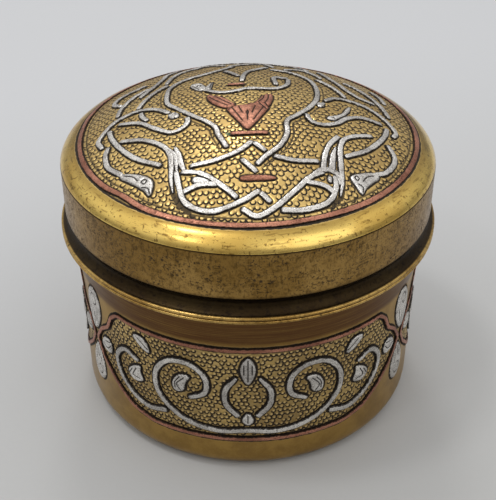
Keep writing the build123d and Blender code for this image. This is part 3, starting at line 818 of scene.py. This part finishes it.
def punchGround(spots, inside, corners, u, v, facing, seed, size):
    # strikes rings wherever the ground is clear of inlays; gives the marks of each place
    tree = treeOf(spots)

    def allowed(u, v):
        keep = inside(u, v)
        keep[keep] = clearance(tree, spots, u[keep], v[keep]) > chasing["clearOfStraps"]
        return keep

    centres = strikeRings(*corners, allowed, seed, size)
    print(len(centres), "rings struck")
    return clearance(tree, spots, u, v), *struckField(centres, u, v, facing, seed + 10)


def chasedHeight(edge, ring, lean, inside, size):
    # struck rings with a low button in each, the line beside the inlays, and the bed under them
    struck = np.exp(-((ring - size) / 0.14) ** 2) * ease(lean, 0.0, 0.7) * inside
    struck = struck - 0.3 * np.exp(-(ring / size / 0.6) ** 2) * inside * ease(edge, 0.1, 0.5)
    line = chasing["lineDepth"] * np.exp(-((edge - chasing["lineAway"]) / chasing["lineWidth"]) ** 2)
    return -chasing["ringDepth"] * struck - np.maximum(line, chasing["lineDepth"] * ease(edge, 0.0, -0.12))


def ringRun():
    # the copper ring is not quite round, and it was pushed in at one place
    look = copperRing
    around = np.arange(0, 360, 0.42)
    radius = look["middle"] + look["wander"] * softNoise(41, around, 0, 22.5)
    radius = radius - look["dip"] * np.exp(-((around - 360 - look["dipAt"]) / look["dipSpread"]) ** 2)
    width = look["width"] * (1 + 0.08 * softNoise(42, around, 0, 11.25))
    turn = np.radians(around)
    return np.stack([radius * np.sin(turn), -radius * np.cos(turn), width], -1)


def beside(run, away):
    # a thin line that keeps its distance from a run
    ahead = np.gradient(run[:, :2], axis=0)
    ahead = ahead / np.linalg.norm(ahead, axis=1)[:, None]
    line = run[:, :2] + np.stack([-ahead[:, 1], ahead[:, 0]], -1) * away
    return np.concatenate([line, np.zeros((len(line), 1))], 1)


def lidLines():
    look = chasedLines
    lines = [beside(smoothRun(lidSilver[name]["straps"][0], 0), away) for name, away in look["besideStraps"].items()]
    lines += [beside(ringRun(), away) for away in look["besideRing"]]
    lines.append(smoothRun(look["ringMark"], 0, 0.1, closed=True))
    return lines + [smoothRun(points, look["channelWidth"]) for points in look["channels"]]


# The lid's crown: punched dome, polished shoulder and plain lining in one sheet
crown = {
    "cells": 416,             # squares across the dome
    "facing": -80,            # the side to which the punch was leaned, in degrees
    "clearOfRing": 1.4,       # struck rings end this far inside the field
    "shoulder": [(40.3, 64.83), (41.5, 63.95), (42.45, 62.95), (42.93, 62.05)],    # radius and height
    "shoulderStep": 0.25,
    "brim": [(42.9, 61.93), (lid["bore"], 61.92)],
    "lining": (38.5, 30, 21, 12, 4),
    "lineDepth": 0.13,
}


def sheetHeight(radius, thickness=0.0):
    return lid["domeTop"] - lid["domeRadius"] + sqrt((lid["domeRadius"] - thickness) ** 2 - radius * radius)


def strapsOf(piece):
    return [smoothRun(points, inlay["strapWidth"]) for points in piece.get("straps", ())]


def makeCrown():
    pieces = (*lidSilver.values(), *lidCopper.values())
    runs = [run for piece in pieces for run in strapsOf(piece)]
    spots = samplesOf([*runs, ringRun()], [plate for piece in pieces for plate in piece.get("plates", ())])
    # a square grid drawn out to a round one
    side = np.linspace(-1, 1, crown["cells"] + 1)
    a, b = np.meshgrid(side, side)
    flat = np.abs(a) > np.abs(b)
    long = np.where(flat, a, b)
    turn = np.where(flat, b, a) / np.where(long == 0, 1, long) * pi / 4
    turn = np.where(flat, turn, pi / 2 - turn)
    u = lid["fieldRadius"] * long * np.cos(turn)
    v = lid["fieldRadius"] * long * np.sin(turn)
    reach = lid["fieldRadius"] - crown["clearOfRing"]
    edge, ring, lean = punchGround(spots, lambda u, v: np.hypot(u, v) < reach, ((-38, -38), (38, 38)), u, v,
                                   crown["facing"], 11, chasing["domeRing"])
    lines = samplesOf(lidLines(), [])
    chased = 1 - ease(clearance(treeOf(lines), lines, u, v), 0.12, 0.34)
    green = np.hypot(u - chasedLines["verdigris"][0], v - chasedLines["verdigris"][1])
    rise = chasedHeight(edge, ring, lean, 1.0, chasing["domeRing"]) + 0.03 * softNoise(31, u, v, 5)
    rise = np.minimum(rise, rise * (1 - chased) - crown["lineDepth"] * chased)
    shell = Shell()
    grid = shell.add(onDome(u, v, rise), edge=edge, ring=ring, lean=lean, field=1.0, shoulder=0.0,
                     chased=chased * 0.9, green=0.85 * (1 - ease(green, 0.3, 0.75)))
    shell.quads(grid)
    border = np.concatenate([grid[0, :-1], grid[:-1, -1], grid[-1, :0:-1], grid[:0:-1, 0]])
    start = np.arctan2(u[0, 0], -v[0, 0])
    columns = len(border) // 4
    inner = (lid["fieldRadius"] + 0.03, sheetHeight(lid["fieldRadius"]))
    bend = smoothRun([inner, *crown["shoulder"]], 0, crown["shoulderStep"])[:, :2]
    bend = np.concatenate([bend, crown["brim"]])
    away = np.hypot(bend[:, 0] - inner[0], bend[:, 1] - inner[1])
    rows = shell.lathe(bend, columns, start, edge=np.maximum(away - 0.15, 0.05), ring=faraway, field=0.0, shoulder=1.0)
    shell.bridge(border, rows[0])
    plain = {"edge": faraway, "ring": faraway, "shoulder": 0.6}
    lining = [(r, sheetHeight(r, lid["lining"])) for r in crown["lining"]]
    under = shell.lathe(lining, columns // 4, start, field=0.0, **plain)
    shell.bridge(rows[-1], under[0])
    shell.close(under[-1], (0, 0, lid["domeTop"] - lid["lining"]), **plain)
    makePiece("lidCrown", shell, domeBrass, "lid", ("lid_crown",))
    print("crown made:", len(shell.faces), "faces")


metals = {"silver": silver, "copper": copper}


def makeInlay(node, metal, body, surface, seeds, runs, plates=(), cuts=(), closed=False, name=None):
    # straps and plates of one metal, named after the node that they stand for
    shell = Shell()
    for k, run in enumerate(runs):
        addStrap(shell, surface, run, seeds[0] + k, closed)
    for k, outline in enumerate(plates):
        addPlate(shell, surface, outline, seeds[1] + k, cuts)
    first, *others = node.split("_")
    name = name or first + "".join(word.capitalize() for word in others)
    makePiece(name, shell, metals[metal], body, (node,))


def makeLidInlays():
    makeInlay("lid_border_ring", "copper", "lid", onDome, (51, 0), [ringRun()], closed=True, name="copperRing")
    for metal, pieces in (("silver", lidSilver), ("copper", lidCopper)):
        for number, (node, piece) in enumerate(pieces.items()):
            seeds, plates = (60 + number * 7, 90 + number * 7), piece.get("plates", ())
            makeInlay(node, metal, "lid", onDome, seeds, strapsOf(piece), plates, piece.get("cuts", ()))
    print("lid inlays made")


makeCrown()
makeLidInlays()


def mirrored(points):
    return [(-p[0], *p[1:]) for p in points]


def shifted(lines, shift):
    return [[(p[0] + shift, *p[1:]) for p in line] for line in lines]


def sides(piece):
    # the name of each side and its way round the wall
    return [(side, turn / 360 * cupRound) for side, turn in piece["turns"].items()]


def borderOf(shift):
    half = panels["halfBorder"]
    return [(radians(a) * cup["radius"] + shift, z) for a, z in half + mirrored(half)[::-1]]


def vineStems(shift):
    base = mirrored(vine["base"][1:])[::-1] + vine["base"]
    stems = shifted([base, *vine["stems"], *map(mirrored, vine["stems"])], shift)
    return [smoothRun(points, inlay["vineWidth"]) for points in stems]


def vineLeaves(shift):
    return shifted([*vine["leaves"], *(mirrored(leaf)[::-1] for leaf in vine["leaves"]), *vine["buds"]], shift)


def vineVeins(shift):
    return shifted([*vine["veins"], *map(mirrored, vine["veins"]), *vine["budVeins"]], shift)


# The cup's sheet: wall with its three punched panels, rounded foot, floor and inside
cupSheet = {
    "columns": 1152,
    "low": 7.6, "high": 39.2,    # the finely divided part of the wall
    "facing": -60,
    "innerRounding": 2.8,
    "floor": (34, 24, 14, 5),    # radii of the rings under which the sheet is divided
    "base": (28, 18, 8),
}


def makeCup():
    look = cupSheet
    radius, bore, high, rounding = cup["radius"], cup["bore"], cup["height"], cup["footRounding"]
    runs, outlines, borders = [], [], []
    for _, shift in sides(panels):
        borders.append(np.array(borderOf(shift)))
        runs += [cornerRun(borderOf(shift), panels["borderWidth"]), *vineStems(shift)]
        outlines += vineLeaves(shift)
    for _, shift in sides(palms):
        outlines += shifted(palms["leaves"], shift)
    spots = samplesOf(runs, outlines)
    spots = np.concatenate([spots + (k * cupRound, 0, 0) for k in (-1, 0, 1)])
    spots = spots[np.abs(spots[:, 0]) < cupRound / 2 + 3]
    step = cupRound / look["columns"]
    rows = np.linspace(look["low"], look["high"], ceil((look["high"] - look["low"]) / step) + 1)
    u, v = np.meshgrid(np.arange(look["columns"]) * cupRound / look["columns"] - cupRound / 2, rows)

    def inPanel(u, v):
        inside = np.zeros(np.shape(u), bool)
        for border in borders:
            for k in (-1, 0, 1):
                inside |= insideOutline(u + k * cupRound, v, border)
        return inside

    corners = ((-cupRound / 2 - 2, 8), (cupRound / 2 + 2, 37))
    edge, ring, lean = punchGround(spots, inPanel, corners, u, v, look["facing"], 71, chasing["cupRing"])
    inside = inPanel(u, v).astype(float)
    rise = chasedHeight(edge, ring, lean, inside, chasing["cupRing"]) + 0.03 * softNoise(91, u, v, 8)
    rise = rise - panels["drop"] * inside * ease(edge, -0.4, 0.1)
    shell = Shell()
    grid = shell.add(onCup(u, v, rise), edge=edge, ring=ring, lean=lean, field=inside)
    shell.quads(grid, wrap=True)
    few = look["columns"] // 4
    plain = {"edge": faraway, "ring": faraway}
    quarter = np.linspace(0, pi / 2, 6)
    bend = look["innerRounding"]
    upper = [(radius, z) for z in np.linspace(look["high"] + 0.5, high, 12)]
    upper += [(bore, z) for z in np.linspace(high, rounding + 1, 8)]
    upper += [(bore - bend * (1 - cos(t)), rounding + 0.2 - bend * sin(t)) for t in quarter]
    upper = shell.lathe(upper + [(r, cup["floor"]) for r in look["floor"]], few, -pi, **plain)
    shell.bridge(grid[-1], upper[0])
    shell.close(upper[-1], (0, 0, cup["floor"]), **plain)
    lower = [(radius, 7.0), (radius, 5.5)]
    lower += [(radius - rounding * (1 - cos(t)), rounding * (1 - sin(t))) for t in np.linspace(0, pi / 2, 9)]
    lower = shell.lathe(lower + [(r, 0) for r in look["base"]], few, -pi, **plain)
    shell.bridge(grid[0], lower[0])
    shell.close(lower[-1], (0, 0, 0), **plain)
    makePiece("cupShell", shell, cupBrass, "box", ("cup",))
    print("cup made:", len(shell.faces), "faces")


def makeCupInlays():
    for number, (side, shift) in enumerate(sides(panels)):
        border = cornerRun(borderOf(shift), panels["borderWidth"])
        makeInlay(f"cartouche_border_{side}", "copper", "box", onCup, (140 + number, 0), [border], closed=True)
        seeds = (150 + number * 9, 180 + number * 9)
        makeInlay(f"vine_{side}", "silver", "box", onCup, seeds, vineStems(shift), vineLeaves(shift), vineVeins(shift))
    for number, (side, shift) in enumerate(sides(palms)):
        leaves, cuts = shifted(palms["leaves"], shift), shifted(palms["cuts"], shift)
        makeInlay(f"palm_leaves_{side}", "silver", "box", onCup, (0, 210 + number * 5), (), leaves, cuts)
    print("cup inlays made")


def makeHoop(name, rows, finish, body, node):
    # rows of radius, height and darkening (grime and painted shade), turned into a closed hoop
    rows = np.array(rows)
    shell = Shell()
    grid = shell.lathe(rows[:, :2], 288, 0.0, grime=rows[:, 2])
    shell.bridge(grid[-1], grid[0])
    makePiece(name, shell, finish, body, (node,), crease=50)
    print(name, "made")


# Turned rim: two fine beads, the hollow above them, the ledge and the neck
rim = {
    "seam": 40.6,                  # radius where the rim meets the cup
    "beads": (45.2, 46.1, 47.0),   # heights at which the two beads begin and end
    "beadRadius": 43.45,
    "beadSwell": 0.83,
    "hollowRadius": 43.3, "hollowHeight": 3.75, "hollowDepth": 1.15, "hollowTaper": 0.4,
    # the last value in the neck and inside rows is painted shade
    "neck": [(41.5, 50.85, 0.7), (41.5, 52, 0.2), (41.5, 59.6, 0.05), (41.2, 60, 0), (40.1, 60, 0)],
    "inside": [(59.7, 0), (56, 0.15), (51, 0.15), (47.5, 0.15), (45.2, 0.15)],
}


def makeRim():
    look = rim
    # the third value of each row is painted shade: in the seam under the beads, between them, in the hollow under the
    # lid's edge, on the neck and inside
    rows = [(look["seam"], look["beads"][0], 1.0)]
    for bottom, top in zip(look["beads"], look["beads"][1:]):
        half = (top - bottom) / 2
        for t in np.linspace(0.12, pi - 0.12, 9):
            out = look["beadRadius"] + look["beadSwell"] * sin(t) ** 0.6
            rows.append((out, bottom + half - half * 0.94 * cos(t), 1 - ease(sin(t), 0.2, 0.6)))
    for t in np.linspace(0.02, 1, 12):
        out = look["hollowRadius"] - look["hollowTaper"] * t - look["hollowDepth"] * sin(pi * t)
        rows.append((out, look["beads"][-1] + look["hollowHeight"] * t, 1.0))
    rows += look["neck"] + [(cup["bore"], z, grime) for z, grime in look["inside"]]
    makeHoop("turnedRim", rows, rimBrass, "box", "rim_collar")


# The lid's plain hoop, darker along its lower edge and under the shoulder
skirt = {
    # the last value in each edge row is how much darker that row is coloured
    "lowerEdge": [(0.2, 0, 1.0), (0, 0.2, 0.8), (0, 0.45, 0.35)],    # further in, further up, grime
    "upperEdge": [(0, 0.25, 0.25), (0.03, 0.1, 0.9), (0.12, 0, 1.0)],    # further in, further down, grime
    "inside": [(61.9, 0.3), (57, 0.1), (53, 0.1), (50.95, 0.6)],
}


def makeSkirt():
    low, high, radius = lid["skirtBottom"], lid["skirtTop"], lid["radius"]
    rows = [(radius - back, low + z, grime) for back, z, grime in skirt["lowerEdge"]]
    rows += [(radius, z, 0.0) for z in np.linspace(low + 0.9, high - 0.45, 12)]
    rows += [(radius - back, high - z, grime) for back, z, grime in skirt["upperEdge"]]
    rows += [(lid["bore"], z, grime) for z, grime in skirt["inside"]]
    makeHoop("lidSkirt", rows, skirtBrass, "lid", "lid_skirt")


makeCup()
makeCupInlays()
makeRim()
makeSkirt()


# Pale floor with painted light, soft lamps, and the camera where the photographer stood
studio = {
    "floorNearShaded": paint(181, 181, 179),
    "floorFarLit": paint(199, 200, 202),
    "lamps": {    # place, size and power
        "keyLamp": ((-0.29, -0.04, 0.92), 0.14, 1.1),
        "sideLamp": ((0.42, -0.48, 0.6), 0.7, 0.8),
        "backLamp": ((-0.05, 0.55, 0.82), 0.2, 1.1),
        "glintLamp": ((-0.43, -0.42, 0.8), 0.09, 0.3)},
    "aim": (0, 0, 0.04),
    "camera": (0, -0.2036, 0.1744),
    "lookDown": 34.7,
    "lens": 72,
}


def makeFloor():
    f = Finish("paleFloor")
    place = f.place()
    grain = f.noise(place, 900, 3)
    # painted light: the floor is coloured lighter towards the back and the left and darker in front, as lamps would
    # light it
    paintedLightFall = f.split(place, "Y") - f.split(place, "X") * 0.4 + (f.noise(place, 3, 3) - 0.5) * 0.08
    colour = f.stain(studio["floorNearShaded"], studio["floorFarLit"], paintedLightFall, -0.14, 0.20)
    f.finish(colour, f.ramp(grain, 0.2, 0.8, 0.6, 0.8), 0.0, f.bump(grain, 0.0001, 0.2))
    mesh = bpy.data.meshes.new("floor")
    mesh.from_pydata([(-3, -2, 0), (3, -2, 0), (3, 3, 0), (-3, 3, 0)], [], [(0, 1, 2, 3)])
    mesh.materials.append(f.material)
    floor = putInScene("floor", mesh, (0, 0, 0))


def putInScene(name, data, place):
    thing = bpy.data.objects.new(name, data)
    thing.location = place
    bpy.context.scene.collection.objects.link(thing)
    return thing


def makeRoom():
    # the room round the table: bright above and behind, dim low down and in front
    f = Finish("studio", bpy.data.worlds.new("studio"))
    way = f.node("ShaderNodeTexCoord", out="Generated")
    across, back, up = (f.split(way, axis) for axis in "XYZ")
    light = f.ramp(up, 0.0, 0.95, 0.26, 0.96) * f.ramp(back, -0.9, 0.4, 0.78, 1.0)
    light = light * f.ramp(across, -0.8, 0.2, 1.3, 1.0) * f.ramp(across, 0.2, 0.9, 1.0, 1.15)
    colour = f.mix(light, (0, 0, 0, 1), (1, 1, 1, 1))
    sky = f.node("ShaderNodeBackground", {}, {"Color": colour, "Strength": 1.0})
    f.node("ShaderNodeOutputWorld", {}, {"Surface": sky})
    bpy.context.scene.world = f.material


def makeStudio():
    makeFloor()
    makeRoom()
    for name, (place, size, power) in studio["lamps"].items():
        lamp = bpy.data.lights.new(name, "AREA")
        lamp.shape, lamp.size, lamp.energy = "DISK", size, power
        aim = Vector(studio["aim"]) - Vector(place)
        putInScene(name, lamp, place).rotation_euler = aim.to_track_quat("-Z", "Y").to_euler()
    camera = bpy.data.cameras.new("camera")
    camera.sensor_width, camera.lens = 36, studio["lens"]
    camera.clip_start, camera.clip_end = 0.01, 20
    holder = putInScene("camera", camera, studio["camera"])
    holder.rotation_euler = (radians(90 - studio["lookDown"]), 0, 0)
    bpy.context.scene.camera = holder
    bpy.context.scene.view_settings.view_transform = "Standard"
    print("studio made")


makeStudio()

bpy.context.view_layer.update()
